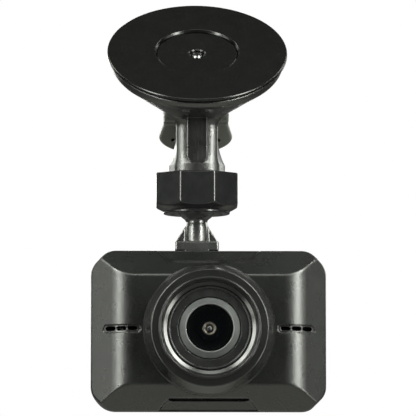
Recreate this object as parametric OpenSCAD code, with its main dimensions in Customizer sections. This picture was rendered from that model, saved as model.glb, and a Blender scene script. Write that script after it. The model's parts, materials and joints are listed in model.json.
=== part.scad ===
// Dash camera on a suction mount.
// Frame: +Z up, the lens looks along -Y, origin at the centre of the suction face.

/* [Suction mount] */
// Diameter of the suction pad
pad_d = 60; // [56:1:66]
// Tilt of the suction face, from horizontal towards the lens side
pad_tilt = 39; // [34:1:42]
// How far the lock lever draws the pad's centre back
pull_travel = 1.5; // [1:0.1:1.8]
// Width of the lock lever at its cams
lever_w = 21.6; // [20:0.2:23]
// Width of the lock lever's paddle
paddle_w = 24.6; // [23:0.2:28]
// Length of the lever from its pin to its tip
lever_len = 16.6; // [15:0.2:20]

/* [Neck and ball joint] */
// Distance of the vertical neck axis behind the suction face's centre
neck_y = 8; // [7:0.5:9]
// Width of the neck
neck_w = 13.8; // [12.5:0.1:15]
// Width across the flats of the lock nut
nut_flats = 27.2; // [26:0.2:30]
// Diameter of the ball
ball_d = 15; // [14.6:0.1:15]

/* [Camera body] */
// Width of the body
body_w = 78; // [76:1:82]
// Height of the body
body_h = 53.5; // [52.5:0.5:56]
// Depth of the front shell, from the parting plane to the raised panel
front_depth = 9; // [8:0.5:10]
// Depth of the rear shell
rear_depth = 14; // [13.6:0.2:16]
// Wall thickness of both shells
wall = 1.8; // [1.6:0.1:2.2]
// Sideways offset of the body from the neck axis
cam_x = 3.8; // [0:0.1:4]
// Length of the lens barrel in front of the raised panel
lens_reach = 10; // [8:0.5:12]

/* [Controls] */
// How far a button travels
button_travel = 0.5; // [0.3:0.1:0.6]
// Distance between neighbouring buttons
button_pitch = 7; // [6.6:0.1:7.2]

/* [Hidden] */

$fn = 96;
slack = 0.01;            // overlap that keeps a cut or a union clean
run = 0.08;              // radial running clearance

// Colours
rubber_black = [0.09, 0.09, 0.09];
plastic_black = [0.14, 0.14, 0.14];
plastic_grey = [0.25, 0.25, 0.24];
steel = [0.62, 0.62, 0.62];
board_green = [0.05, 0.25, 0.12];

// Suction mount, measured from the suction face along its normal
pad_r = pad_d / 2;
recess_r = 13.6;
recess_depth = 0.9;
pad_back = -3;
rim_r = pad_r - 1.3;
rim_top = -2.2;
rim_low = -4.2;
dome_low = -18.6;
dome_wall = 1.8;
neck_head = dome_low + 1;
core_r = 12;
core_top = pad_back - 0.1;
core_low = core_top - 1.7;
post_r = 3;
pin_z = -23.2;
pin_r = 1.2;
tongue_top = pin_z + 6;
screw_seat = -2;
spring_r = 4.6;
spring_wire_r = 0.5;
spring_turns = 4;

// Cam: its radius grows with the lever's turn and pushes on the dome's flat end
lock_angle = 85;
cam_r = dome_low - pin_z - 0.3;
paddle_t = 2.6;
tongue_half = 2.4;
slot_half = 2.8;

// Neck and ball joint, heights in the object's frame
neck_front = neck_y - 9.2;
neck_back = neck_y + 5.6;
flare_top = -32.3;
flare_low = -37.6;
socket_r = 9.5;
socket_low = -50.4;
socket_bore_r = 8.6;
seat_top = -39.5;
nut_top = -40.3;
nut_flat_low = -51.6;
nose_r = 11.1;
nose_top = -52.6;
nose_low = -53.8;
ball_r = ball_d / 2;
ball_z = nose_low + 4.6;
lip_angle = 63;
seat_inner_r = ball_r + 0.55;
pad_cap_angle = 42;

// Camera body
split_y = 2;
cam_top = -66.5;
cam_z = cam_top - body_h / 2;
corner_cut = 5.8;
corner_r = 6;
plateau_w = body_w - 20.2;
plateau_h = body_h - 17.3;
edge_band = 1;
rear_inset = 2;
foot_gap = 0.2;

// Foot of the ball stem and the rail in the body's top, in the body's frame
foot_w = 14.6;
foot_d = 11;
foot_top = -63.2;
rail_x = -cam_x;
rail_y = neck_y - split_y;
rail_neck_w = 8;
rail_neck_h = 1.6;
rail_w = 12;
rail_h = 1.6;
rail_clear = 0.2;

// Lens, distances in front of the parting plane
panel = front_depth;
bezel_r = 21.9;
barrel_front = panel + lens_reach;
trim_front = barrel_front - 3.4;

// Boards and display, distances behind the parting plane
board_y = 5.4;
board_t = 1.2;
board_back = board_y + board_t;
board_w = 62;
board_top = 20;
board_low = -22.5;
back_wall = rear_depth - wall;
window_w = 52.6;
window_h = 40.1;
window_x = 5;
button_x = -27.5;
button_w = 7.5;
button_h = 4.6;
case_screw_x = 34.6;
case_screw_z = 15;
board_screw_x = 28;
board_screw_z = 18.4;

// ---------------------------------------------------------------- placing

// Children in the suction face's own frame, whose +Z is the face's normal
module on_pad() rotate([pad_tilt, 0, 0]) children();

// Children in the camera body's frame, whose origin is the parting plane's centre
module on_camera() translate([cam_x, split_y, cam_z]) children();

// Outline in X and Z, pushed out along Y from y0 to y1
module slab(y0, y1)
    translate([0, y1, 0]) rotate([90, 0, 0]) linear_extrude(height = y1 - y0) children();

// Outline in Y and Z, pushed out along X and centred on it
module across(w)
    rotate([90, 0, 90]) linear_extrude(height = w, center = true) children();

// Profile of radius and distance to the front, turned about the Y axis
module lathe() rotate([90, 0, 0]) rotate_extrude() children();

module box(x0, x1, y0, y1, z0, z1)
    translate([x0, y0, z0]) cube([x1 - x0, y1 - y0, z1 - z0]);

module round_rect(w, h, r) {
    square([w - 2 * r, h], center = true);
    square([w, h - 2 * r], center = true);
    for (x = [-1, 1], y = [-1, 1])
        translate([x * (w / 2 - r), y * (h / 2 - r)]) circle(r, $fn = 24);
}

// Rod of radius r along Y from y0 to y1
module rod(r, y0, y1) translate([0, y1, 0]) rotate([90, 0, 0]) cylinder(r = r, h = y1 - y0);

module four(x, z)
    for (sx = [-1, 1], sz = [-1, 1]) translate([sx * x, 0, sz * z]) children();

// ---------------------------------------------------------------- suction mount

module suction_pad() {
    lip = 0.9;
    hole_r = 0.95;
    color(rubber_black) on_pad() rotate_extrude() polygon([
        [recess_r, 0], [pad_r - 0.3, 0], [pad_r, -0.3], [pad_r, -lip], [pad_r - 0.4, -lip - 0.3],
        [rim_r - 0.8, rim_top + 0.2], [rim_r - 2, rim_top - 0.1], [rim_r - 2.4, pad_back],
        [hole_r, pad_back], [hole_r, screw_seat], [2.4, screw_seat], [2.4, -recess_depth - 0.3],
        [2.7, -recess_depth], [recess_r - 0.2, -recess_depth]]);
}

// Wall of the bell, outside and then inside
module dome() rotate([0, 0, 20]) rotate_extrude() polygon([
    [rim_r - 1.6, rim_top], [rim_r, rim_top], [rim_r + 0.1, rim_low], [rim_r - 0.6, rim_low - 1],
    [24.4, -8], [20.4, -12], [16.8, -15.6], [14.6, -17.4], [12.6, -18.3], [11.4, dome_low],
    [0, dome_low], [0, dome_low + dome_wall], [10.6, dome_low + dome_wall], [12.6, -16.4],
    [14.9, -15.2], [18.4, -12], [22.4, -8], [rim_r - 1.7, rim_low - 0.2]]);

// Upright column with a flat front, standing in the flared base
module neck_column() {
    depth = neck_back - neck_front;
    top = -12;
    translate([0, neck_front + depth / 2, nut_top]) linear_extrude(height = top - nut_top)
        round_rect(neck_w, depth, 1.5);
}

// Sunk panel in the column's front
module neck_panel() {
    panel_w = 6.9;
    depth = 0.8;
    box(-panel_w / 2, panel_w / 2, neck_front - 1, neck_front + depth, flare_top + 1.2, -25.4);
}

module mount_housing() {
    thread_pitch = 2.5;
    slot_w = 1.2;
    cam_gap = 0.6;
    color(plastic_black) difference() {
        union() {
            on_pad() dome();
            difference() {
                neck_column();
                on_pad() translate([0, 0, neck_head]) cylinder(r = 60, h = 80);
            }
            translate([0, neck_y, 0]) rotate_extrude() polygon([
                [0, flare_top + 1], [neck_w / 2 - 0.5, flare_top + 1], [socket_r, flare_low],
                [socket_r, nut_top - 2], [socket_r - 0.4, nut_top - 2.2],
                [socket_r - 0.4, socket_low], [0, socket_low]]);
            for (i = [0:2]) translate([0, neck_y, nut_top - 3.2 - i * thread_pitch])
                rotate_extrude() polygon([[8.8, 0.7], [socket_r - 0.4, 0.7], [socket_r, 0.2],
                    [socket_r, -0.2], [socket_r - 0.4, -0.7], [8.8, -0.7]]);
        }
        neck_panel();
        // bore for the post, and room for the lever's cams
        on_pad() translate([0, 0, pin_z]) cylinder(r = post_r + run, h = 12);
        for (z = [pin_z, pin_z - pull_travel]) on_pad() translate([0, 0, z]) rotate([0, 90, 0])
            cylinder(r = cam_r + cam_gap, h = lever_w + 4, center = true);
        // socket of the ball seat and its four slots
        translate([0, neck_y, socket_low - 1])
            cylinder(r = socket_bore_r, h = seat_top - socket_low + 1);
        for (a = [45, 135]) translate([0, neck_y, socket_low + 2.5]) rotate([0, 0, a])
            cube([30, slot_w, 6], center = true);
    }
}

module pull_post() {
    color(plastic_grey) on_pad() difference() {
        union() {
            rotate_extrude() polygon([[0, core_top], [core_r, core_top], [core_r, core_low],
                [post_r + 2, core_low], [post_r, core_low - 1], [post_r, tongue_top],
                [0, tongue_top]]);
            intersection() {
                translate([0, 0, pin_z - 3]) cylinder(r = post_r, h = 10);
                union() {
                    across(2 * tongue_half) translate([0, pin_z]) circle(2.6);
                    translate([-tongue_half, -2.6, pin_z]) cube([2 * tongue_half, 5.2, 10]);
                }
            }
        }
        translate([0, 0, pin_z]) rotate([0, 90, 0]) cylinder(r = pin_r, h = 10, center = true);
        translate([0, 0, core_low - 4]) cylinder(r = 0.9, h = 10);
    }
}

module pad_screw() {
    head_r = 1.6;
    head_h = 0.8;
    color(steel) on_pad() difference() {
        rotate_extrude() polygon([[0, screw_seat + head_h], [head_r - 0.5, screw_seat + head_h],
            [head_r, screw_seat + 0.4], [head_r, screw_seat], [0.9, screw_seat],
            [0.9, core_low - 3], [0.5, core_low - 3.5], [0, core_low - 3.5]]);
        for (a = [0, 90]) rotate([0, 0, a])
            translate([0, 0, screw_seat + head_h]) cube([1.8, 0.4, 0.9], center = true);
    }
}

module lever_pin()
    color(steel) on_pad() translate([0, 0, pin_z]) rotate([0, 90, 0])
        cylinder(r = pin_r, h = lever_w - 2, center = true);

// Ring of points round one place on the spring's coil
function coil_ring(turn, z, sides) = [for (k = [0:sides - 1])
    let (a = 360 * k / sides, r = spring_r + spring_wire_r * cos(a))
    [r * cos(turn), r * sin(turn), z + spring_wire_r * sin(a)]];

module release_spring() {
    sides = 8;
    per_turn = 24;
    rings = spring_turns * per_turn;
    low = dome_low + dome_wall + spring_wire_r + 0.05;
    high = core_low - spring_wire_r - 0.05;
    points = [for (i = [0:rings])
        each coil_ring(360 * i / per_turn, low + (high - low) * i / rings, sides)];
    sides_faces = [for (i = [0:rings - 1], k = [0:sides - 1])
        let (a = i * sides + k, b = i * sides + (k + 1) % sides) [a, a + sides, b + sides, b]];
    color(steel) on_pad() polyhedron(points = points, faces = concat(sides_faces,
        [[for (k = [0:sides - 1]) k], [for (k = [sides - 1:-1:0]) rings * sides + k]]));
}

// Spiral that gains the pull travel over the lock angle, in Y and Z about the pin
function cam_reach(a) = cam_r + (a < 0 || a > 180 ? 0
    : a <= lock_angle ? (pull_travel - 0.1) * a / lock_angle
    : (pull_travel - 0.1) * (180 - a) / (180 - lock_angle));

module cam_outline()
    polygon([for (a = [-180:6:174]) [cam_reach(a) * sin(a), cam_reach(a) * cos(a)]]);

module paddle_outline() {
    wide = 10.2;
    tip = lever_len - wide;
    polygon([[-lever_w / 2 + 0.5, -3.6], [-paddle_w / 2 + 0.9, -wide + 3],
        for (a = [180:9:360]) [paddle_w / 2 * cos(a), -wide + tip * sin(a)],
        [paddle_w / 2 - 0.9, -wide + 3], [lever_w / 2 - 0.5, -3.6], [lever_w / 2 - 0.5, 0],
        [-lever_w / 2 + 0.5, 0]]);
}

module lock_lever() {
    color(plastic_grey) on_pad() translate([0, 0, pin_z]) difference() {
        union() {
            across(lever_w) cam_outline();
            slab(-paddle_t / 2, paddle_t / 2) paddle_outline();
        }
        rotate([0, 90, 0]) cylinder(r = pin_r + 0.05, h = lever_w + 4, center = true);
        // room for the post's tongue, from its rest direction to its locked one
        rotate([0, 90, 0]) cylinder(r = 3.1, h = 2 * slot_half, center = true);
        translate([-slot_half, -3.1, 0]) cube([2 * slot_half, 12, 9]);
        translate([-slot_half, 0, -3.1]) cube([2 * slot_half, 9, 9]);
        for (x = [-7.6, 7.6]) translate([x, -paddle_t / 2, -11.2]) rotate([90, 0, 0])
            cylinder(r = 0.6, h = 1, center = true);
    }
}

// ---------------------------------------------------------------- neck and ball joint

module at_ball() translate([0, neck_y, ball_z]) children();

module lock_nut() {
    corner_r8 = nut_flats / 2 / cos(22.5);
    color(plastic_black) translate([0, neck_y, 0]) difference() {
        intersection() {
            union() {
                translate([0, 0, nose_top]) rotate([0, 0, 22.5])
                    cylinder(r = corner_r8, h = nut_top - nose_top, $fn = 8);
                translate([0, 0, nose_low]) cylinder(r = nose_r, h = 2);
            }
            rotate_extrude() polygon([[0, nut_top], [corner_r8 + 1, nut_top],
                [corner_r8 + 1, nut_flat_low + 1.9], [nut_flats / 2, nut_flat_low],
                [nose_r + 0.6, nose_top], [nose_r, nose_top - 0.2],
                [nose_r, nose_low + 0.4], [nose_r - 0.4, nose_low], [0, nose_low]]);
        }
        translate([0, 0, socket_low - 0.2])
            cylinder(r = socket_r + run, h = nut_top - socket_low + 1.2);
        translate([0, 0, ball_z]) sphere(r = ball_r + run);
        translate([0, 0, nose_low - slack])
            cylinder(r1 = (ball_z - nose_low) * tan(lip_angle), r2 = 0, h = ball_z - nose_low);
    }
}

module ball_seat()
    color(plastic_grey) difference() {
        translate([0, neck_y, -46.5]) cylinder(r = socket_bore_r - run, h = seat_top - 0.1 + 46.5);
        at_ball() sphere(r = seat_inner_r);
    }

module friction_pad()
    color(rubber_black) at_ball() rotate_extrude() polygon([
        for (a = [0:3:pad_cap_angle]) (seat_inner_r - 0.06) * [sin(a), cos(a)],
        for (a = [pad_cap_angle:-3:0]) (ball_r + 0.06) * [sin(a), cos(a)]]);

module ball_stem() {
    web_t = 2.4;
    stem_low = foot_top + 0.3;
    foot_low = cam_top + foot_gap;
    rail_top = cam_top - rail_neck_h;
    color(plastic_black) {
        at_ball() sphere(r = ball_r);
        translate([0, neck_y, 0]) {
            rotate_extrude() polygon([[0, ball_z], [3.2, ball_z - 4], [3.3, -55.5], [3.9, -58],
                [4.1, foot_top], [0, foot_top]]);
            slab(-web_t / 2, web_t / 2) polygon([[-3, -57], [3, -57], [4.4, -58.8],
                [foot_w / 2 - 0.3, stem_low], [foot_w / 2 - 0.3, foot_top - 1],
                [-foot_w / 2 + 0.3, foot_top - 1], [-foot_w / 2 + 0.3, stem_low], [-4.4, -58.8]]);
            translate([0, 0, foot_low]) linear_extrude(height = foot_top - foot_low)
                round_rect(foot_w, foot_d, 0.8);
            box(-rail_neck_w / 2, rail_neck_w / 2, -foot_d / 2, foot_d / 2, rail_top, foot_low + 1);
            box(-rail_w / 2, rail_w / 2, -foot_d / 2, foot_d / 2, rail_top - rail_h, rail_top);
        }
    }
}

// ---------------------------------------------------------------- camera shells

function reversed(list) = [for (i = [len(list) - 1:-1:0]) list[i]];

// Upper right quarter of the outline: a cut corner whose two ends are rounded
function quarter(hw, hh, cut, r) = [
    for (a = [0:15:45]) [hw + r * cos(a), hh - cut + r * sin(a)],
    for (a = [45:15:90]) [hw - cut + r * cos(a), hh + r * sin(a)]];

// Chamfered outline with rounded corners, drawn inset by a margin
module body_outline(inset = 0) {
    r = max(corner_r - inset, 1.2);
    in = inset + r;
    q = quarter(body_w / 2 - in, body_h / 2 - in, corner_cut - in * (2 - sqrt(2)), r);
    polygon(concat(q, [for (p = reversed(q)) [-p.x, p.y]], [for (p = q) -p],
        [for (p = reversed(q)) [p.x, -p.y]]));
}

// Solid between two depths whose sides slope from one width and height to another
module sloped(y0, y1, w0, h0, w1, h1) intersection() {
    translate([0, 0, -h0]) linear_extrude(height = 2 * h0)
        polygon([[-w0 / 2, y0], [w0 / 2, y0], [w1 / 2, y1], [-w1 / 2, y1]]);
    across(2 * w0) polygon([[y0, -h0 / 2], [y0, h0 / 2], [y1, h1 / 2], [y1, -h1 / 2]]);
}

// Sloping front: a wide band at the parting plane and the raised panel in front
module front_form(back = 0) {
    sloped(-edge_band, -front_depth, body_w, body_h, plateau_w, plateau_h);
    box(-body_w / 2, body_w / 2, -edge_band, back, -body_h / 2, body_h / 2);
}

// Shallow pocket in the middle of the upper or lower slope
module grip_pocket() {
    outer = 16.1;
    inner = 13;
    edge = body_h / 2;
    step = 3.6;
    slab(-front_depth - 1, 0) polygon([[-outer - 2, edge + 2], [-outer, edge - 0.9],
        for (a = [30:15:90]) [-inner - 1.6 + 1.8 * sin(a - 30), edge - step + 1.2 * (1 - sin(a))],
        for (a = [90:-15:30]) [inner + 1.6 - 1.8 * sin(a - 30), edge - step + 1.2 * (1 - sin(a))],
        [outer, edge - 0.9], [outer + 2, edge + 2]]);
}

// Row of rounded vent holes in a shallow slot
module vents(side) {
    pitch = 3.65;
    translate([side * 28.8, 0, 0.4]) {
        slab(-front_depth - 1, 1) for (i = [-1, 0, 1]) translate([i * pitch, 0])
            round_rect(3.1, 1.3, 0.64);
    }
}

module vent_slot(side)
    translate([side * 28.8, 0, 0.3]) slab(-front_depth - 1, 0) round_rect(12.4, 2.6, 1.29);

module front_shell() {
    thick = 2.3;
    pocket_depth = 1.2;
    slot_depth = 0.7;
    color(plastic_black) on_camera() {
        difference() {
            intersection() {
                front_form();
                slab(-front_depth, 0) body_outline();
            }
            difference() {
                intersection() {
                    translate([0, thick, 0]) front_form(1);
                    slab(-front_depth, 1) body_outline(wall);
                }
                // walls that back the pockets
                for (s = [-1, 1]) translate([0, 0, s * 22.8]) cube([32, 18, 4.6], center = true);
            }
            for (flip = [0, 1]) mirror([0, 0, flip]) difference() {
                grip_pocket();
                translate([0, pocket_depth, 0]) front_form();
            }
            for (side = [-1, 1]) {
                vents(side);
                difference() {
                    vent_slot(side);
                    translate([0, slot_depth, 0]) front_form();
                }
            }
            lathe() translate([0, -1]) square([bezel_r - 3.9, 30]);
        }
        // screw posts
        difference() {
            union() {
                four(case_screw_x, case_screw_z) rod(2, -2.6, 0);
                four(board_screw_x, board_screw_z) rod(2.1, -5.4, board_y);
            }
            four(case_screw_x, case_screw_z) rod(0.9, -2, 1);
            four(board_screw_x, board_screw_z) rod(0.9, -3, board_y + 1);
        }
    }
}

module rear_form(inset = 0, back = rear_depth) intersection() {
    slab(0, back) body_outline(inset);
    union() {
        box(-body_w, body_w, -1, 4, -body_h, body_h);
        sloped(4, back + 2, body_w, body_h, body_w - 2 * rear_inset - 1, body_h - 2 * rear_inset - 1);
    }
}

module rear_void() intersection() {
    slab(-1, back_wall) body_outline(wall);
    union() {
        box(-body_w, body_w, -2, 4, -body_h, body_h);
        sloped(4, back_wall + 2, body_w - 2 * wall, body_h - 2 * wall,
            body_w - 2 * (wall + rear_inset) - 1, body_h - 2 * (wall + rear_inset) - 1);
    }
}

module rail_void() {
    z = body_h / 2 - rail_neck_h;
    y0 = rail_y - foot_d / 2 - rail_clear;
    translate([rail_x, 0, 0]) {
        box(-rail_neck_w / 2 - rail_clear, rail_neck_w / 2 + rail_clear, y0, rear_depth + 1,
            z - 1, body_h / 2 + 1);
        box(-rail_w / 2 - rail_clear, rail_w / 2 + rail_clear, y0, rear_depth + 1,
            z - rail_h - rail_clear, z + rail_clear);
    }
}

button_zs = [2, 1, 0, -1, -2] * button_pitch;

module rear_shell() {
    rail_floor = body_h / 2 - rail_neck_h - rail_h - rail_clear - 1.2;
    color(plastic_black) on_camera() difference() {
        union() {
            difference() {
                rear_form();
                rear_void();
            }
            intersection() {
                rear_form();
                translate([rail_x, 0, 0]) box(-rail_w / 2 - 1.6, rail_w / 2 + 1.6, 0, rear_depth,
                    rail_floor, body_h / 2);
            }
            intersection() {
                rear_form();
                four(case_screw_x, case_screw_z) rod(2.4, 0, rear_depth);
            }
        }
        rail_void();
        translate([window_x, 0, 0]) {
            slab(back_wall + 0.6, rear_depth + 1) round_rect(window_w + 0.2, window_h + 0.2, 1.6);
            slab(back_wall - 1, rear_depth + 1) round_rect(50, 37.6, 1);
        }
        for (z = button_zs) translate([button_x, 0, z])
            slab(back_wall - 1, rear_depth + 1) round_rect(button_w + 0.4, button_h + 0.4, 1.4);
        translate([button_x, 0, 19.8]) rod(0.95, back_wall - 1, rear_depth + 1);
        translate([button_x + 3, 0, -19.8]) rod(0.5, back_wall - 1, rear_depth + 1);
        four(case_screw_x, case_screw_z) {
            rod(1.1, -1, rear_depth + 1);
            rod(1.9, rear_depth - 1.6, rear_depth + 1);
        }
        // openings for the power inlet and the memory card
        translate([18, 8.9, body_h / 2]) linear_extrude(height = 8, center = true)
            round_rect(9.4, 3.6, 1.79);
        translate([body_w / 2, 8, -4]) cube([8, 1.4, 12], center = true);
    }
}

// ---------------------------------------------------------------- lens

module lens_bezel() {
    color(plastic_black) on_camera() difference() {
        lathe() polygon([
            [bezel_r, 3], [bezel_r, panel + 0.8], [bezel_r - 0.4, panel + 1.2],
            [19.4, barrel_front - 1.6], [18.9, barrel_front - 1.1], [17, barrel_front - 0.7],
            [16.9, barrel_front - 2.4], [15.9, barrel_front - 2.4], [15.85, barrel_front - 0.2],
            [15.6, barrel_front], [15.2, barrel_front - 0.1], [13.9, trim_front - 0.2],
            [13.9, trim_front - 1.6], [12.4, trim_front - 1.6], [12.4, trim_front - 3.2],
            [14.4, trim_front - 4.4], [bezel_r - 4, panel - 0.6], [bezel_r - 4, 3]]);
        // the skirt stops on the shell's slopes and panel
        intersection() {
            front_form();
            lathe() difference() {
                square([bezel_r + 1, panel + 1]);
                square([bezel_r - 4, panel + 1]);
            }
        }
        lathe() square([bezel_r + 1, 3.2]);
    }
}

module lens_trim()
    color(plastic_black) on_camera() lathe() polygon([
        [10.2, trim_front - 1.5], [13.8, trim_front - 1.5], [13.8, trim_front - 0.1],
        [13.6, trim_front + 0.1], [13.2, trim_front], [10.5, trim_front],
        [10.2, trim_front - 0.2]]);

module lens_retainer()
    color(steel) on_camera() lathe() polygon([
        [7.72, trim_front - 1], [9.2, trim_front - 1], [9.95, trim_front - 0.6],
        [9.95, trim_front - 0.2], [8, trim_front + 1.7], [7.72, trim_front + 1.6]]);

module front_lens() {
    glass_r = 7.65;
    seat = trim_front - 1.2;
    edge = 1.8;
    rise = 0.8;
    color([0.03, 0.04, 0.06]) on_camera() lathe() polygon([[0, seat], [glass_r, seat],
        for (k = [1:-0.1:0]) [glass_r * k, seat + edge + rise * (1 - k * k)]]);
}

// Second element in its cell, standing on the barrel's inner step
module middle_lens() {
    cell_r = 2.4;
    eye_r = 1.2;
    foot = 7.5;
    front = trim_front - 2.6;
    color([0.25, 0.22, 0.2]) on_camera() lathe() polygon([[0, foot], [cell_r + 1.2, foot],
        [cell_r + 1.2, foot + 0.8], [cell_r, foot + 2], [cell_r, front], 
        for (k = [1:-0.2:0]) [eye_r * k, front + 0.6 * (1 - k * k)]]);
}

module rear_lens()
    color([0.05, 0.04, 0.06]) on_camera() lathe() polygon([
        [0, 3.5], [4.9, 4.1], [4.9, 5.6], [0, 7]]);

module lens_barrel()
    color(plastic_black) on_camera() lathe() polygon([
        [3, -2.8], [6.95, -2.8], [6.95, 6], [9.1, 6], [9.1, trim_front - 1.05],
        [7.7, trim_front - 1.05], [7.7, trim_front - 1.3], [6.5, trim_front - 1.3],
        [4, 7.4], [2.6, 7.2], [4.95, 5.7], [4.95, 3.4], [2.4, 3]]);

module lens_holder()
    color(plastic_black) on_camera() difference() {
        union() {
            box(-8, 8, 3.4, board_y, -8, 8);
            rod(8.1, -3.6, 3.5);
        }
        rod(7, -4, 3.1);
        box(-5.2, 5.2, 3, board_y + 1, -4.6, 4.6);
    }

module ir_filter() color([0.5, 0.3, 0.4]) on_camera() box(-5.1, 5.1, 3.6, 3.9, -4.5, 4.5);

module image_sensor() color(steel) on_camera() box(-4.6, 4.6, 4.5, board_y, -4.1, 4.1);

// ---------------------------------------------------------------- electronics

module main_board()
    color(board_green) on_camera() slab(board_y, board_back) difference() {
        translate([-board_w / 2, board_low]) square([board_w, board_top - board_low]);
        for (sx = [-1, 1], sz = [-1, 1])
            translate([sx * board_screw_x, sz * board_screw_z]) circle(1.05);
    }

module processor() color([0.1, 0.1, 0.1]) on_camera() box(-2, 12, board_back, board_back + 1.2, -8, 6);

module board_chips()
    color([0.1, 0.1, 0.1]) on_camera() {
        box(-16, -6, board_back, board_back + 1, 4, 14);
        box(-15, -7, board_back, board_back + 0.9, -12, -6);
        box(16, 20, board_back, board_back + 0.9, 8, 12);
        box(0, 4, board_back, board_back + 1, -17, -13);
    }

module tact_switches()
    color(steel) on_camera() for (z = button_zs)
        box(button_x - 2.2, button_x + 2.2, board_back, board_back + 2.8, z - 2.2, z + 2.2);

module display_panel()
    color([0.12, 0.12, 0.13]) on_camera()
        box(window_x - 25.4, window_x + 25.4, back_wall - 2.4, back_wall - 0.1, -19.4, 19.4);

module display_ribbon()
    color([0.5, 0.32, 0.08]) on_camera() translate([window_x, 0, 0]) across(14) polygon([
        [board_back, -21.3], [board_back + 0.2, -21.3], [board_back + 0.2, -21.6],
        [back_wall - 1.3, -21.6], [back_wall - 1.3, -19.4], [back_wall - 1.1, -19.4],
        [back_wall - 1.1, -21.8], [board_back, -21.8]]);

module display_window()
    color([0.04, 0.04, 0.05]) on_camera() translate([window_x, 0, 0])
        slab(back_wall + 0.65, rear_depth - 0.15) round_rect(window_w, window_h, 1.5);

module battery() color([0.1, 0.1, 0.11]) on_camera() box(11.5, 31, 0.4, board_y - 0.1, -14.5, 14.5);

module speaker()
    color([0.2, 0.2, 0.2]) on_camera() translate([-22.5, 0, 0]) lathe() polygon([
        [0, -3.4], [5.6, -3.4], [7, -1.6], [7, -0.4], [5.8, 0], [5.2, -0.6], [2.4, -0.2], [0, 0.2]]);

module microphone() color(steel) on_camera() translate([button_x + 3.2, 0, -19.8])
    rod(1.6, board_back, board_back + 2.2);

module usb_socket()
    color(steel) on_camera() translate([18, 8.9, 0]) difference() {
        translate([0, 0, 19.6]) linear_extrude(height = 6.2) round_rect(8.9, 3.2, 1.59);
        translate([0, 0, 20.6]) linear_extrude(height = 8) round_rect(8.3, 2.6, 1.29);
    }

module card_socket()
    color(steel) on_camera() difference() {
        box(22, 35.6, board_back + 0.4, board_back + 2.4, -11, 3);
        box(24, 40, board_back + 0.8, board_back + 2, -9.6, 1.6);
    }

module status_light()
    color([0.8, 0.85, 0.9]) on_camera() translate([button_x, 0, 19.8])
        rod(0.9, back_wall - 0.6, rear_depth + 0.1);

module board_screws()
    color(steel) on_camera() four(board_screw_x, board_screw_z) {
        rod(0.85, -2.6, board_back);
        rod(1.8, board_back, board_back + 0.9);
    }

module case_screws()
    color(steel) on_camera() four(case_screw_x, case_screw_z) difference() {
        union() {
            rod(0.85, -1.8, rear_depth - 1.5);
            rod(1.7, rear_depth - 1.6, rear_depth - 0.4);
        }
        for (a = [0, 90]) rotate([0, a, 0])
            translate([0, rear_depth - 0.4, 0]) cube([2, 1, 0.45], center = true);
    }

// ---------------------------------------------------------------- buttons

module button(row)
    color(plastic_grey) on_camera() translate([button_x, 0, button_zs[row]]) {
        slab(back_wall - 0.2, rear_depth + 0.6) round_rect(button_w, button_h, 1.2);
        slab(back_wall - 1, back_wall - 0.2) round_rect(button_w + 1, button_h + 1, 1.2);
        rod(1.2, board_back + 2.8 + button_travel + 0.1, back_wall - 0.9);
    }

module power_button() button(0);
module menu_button() button(1);
module up_button() button(2);
module down_button() button(3);
module select_button() button(4);

suction_pad();
mount_housing();
pull_post();
pad_screw();
lever_pin();
release_spring();
lock_lever();
lock_nut();
ball_seat();
friction_pad();
ball_stem();
front_shell();
rear_shell();
lens_bezel();
lens_trim();
lens_retainer();
front_lens();
middle_lens();
rear_lens();
lens_barrel();
lens_holder();
ir_filter();
image_sensor();
main_board();
processor();
board_chips();
tact_switches();
display_panel();
display_ribbon();
display_window();
battery();
speaker();
microphone();
usb_socket();
card_socket();
status_light();
board_screws();
case_screws();
power_button();
menu_button();
up_button();
down_button();
select_button();
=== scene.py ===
import json
import math

import bpy
import numpy as np
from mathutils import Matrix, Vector


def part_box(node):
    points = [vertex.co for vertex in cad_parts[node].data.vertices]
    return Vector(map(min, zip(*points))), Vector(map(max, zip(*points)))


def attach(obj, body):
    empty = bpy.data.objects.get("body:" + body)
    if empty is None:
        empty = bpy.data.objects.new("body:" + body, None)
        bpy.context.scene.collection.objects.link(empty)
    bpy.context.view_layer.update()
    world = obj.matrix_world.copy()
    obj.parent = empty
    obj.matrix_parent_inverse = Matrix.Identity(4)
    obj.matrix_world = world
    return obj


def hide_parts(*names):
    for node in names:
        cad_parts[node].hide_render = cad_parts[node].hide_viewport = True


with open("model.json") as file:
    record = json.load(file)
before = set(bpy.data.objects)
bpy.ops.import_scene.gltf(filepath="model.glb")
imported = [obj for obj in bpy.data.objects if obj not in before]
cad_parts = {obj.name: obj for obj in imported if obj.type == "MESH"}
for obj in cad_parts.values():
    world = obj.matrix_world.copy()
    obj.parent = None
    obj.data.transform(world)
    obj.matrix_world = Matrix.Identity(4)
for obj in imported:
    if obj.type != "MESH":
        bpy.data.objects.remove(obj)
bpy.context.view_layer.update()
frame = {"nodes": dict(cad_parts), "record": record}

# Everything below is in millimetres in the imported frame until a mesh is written.
MM = 0.001


def span(node):
    """Lowest and highest corner of a CAD node, in millimetres."""
    low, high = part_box(node)
    return np.array(low) / MM, np.array(high) / MM


# ---------------------------------------------------------------- places

PAD_TILT = math.radians(39)
TILT_COS, TILT_SIN = math.cos(PAD_TILT), math.sin(PAD_TILT)
# Depths of the shells, in front of and behind the parting plane
FRONT_DEPTH = 9.0
REAR_DEPTH = 14.0
WALL = 1.8
BODY_HALF_W, BODY_HALF_H = 39.0, 26.75
PANEL_HALF_W, PANEL_HALF_H = 28.9, 18.1
# Straight band round the front shell before its slopes begin
EDGE_BAND = 1.0
# The lever's pin and its way along the pad's axis
PIN_Z = -23.2
PULL_TRAVEL = 1.5
BALL_R = 7.5

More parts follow.
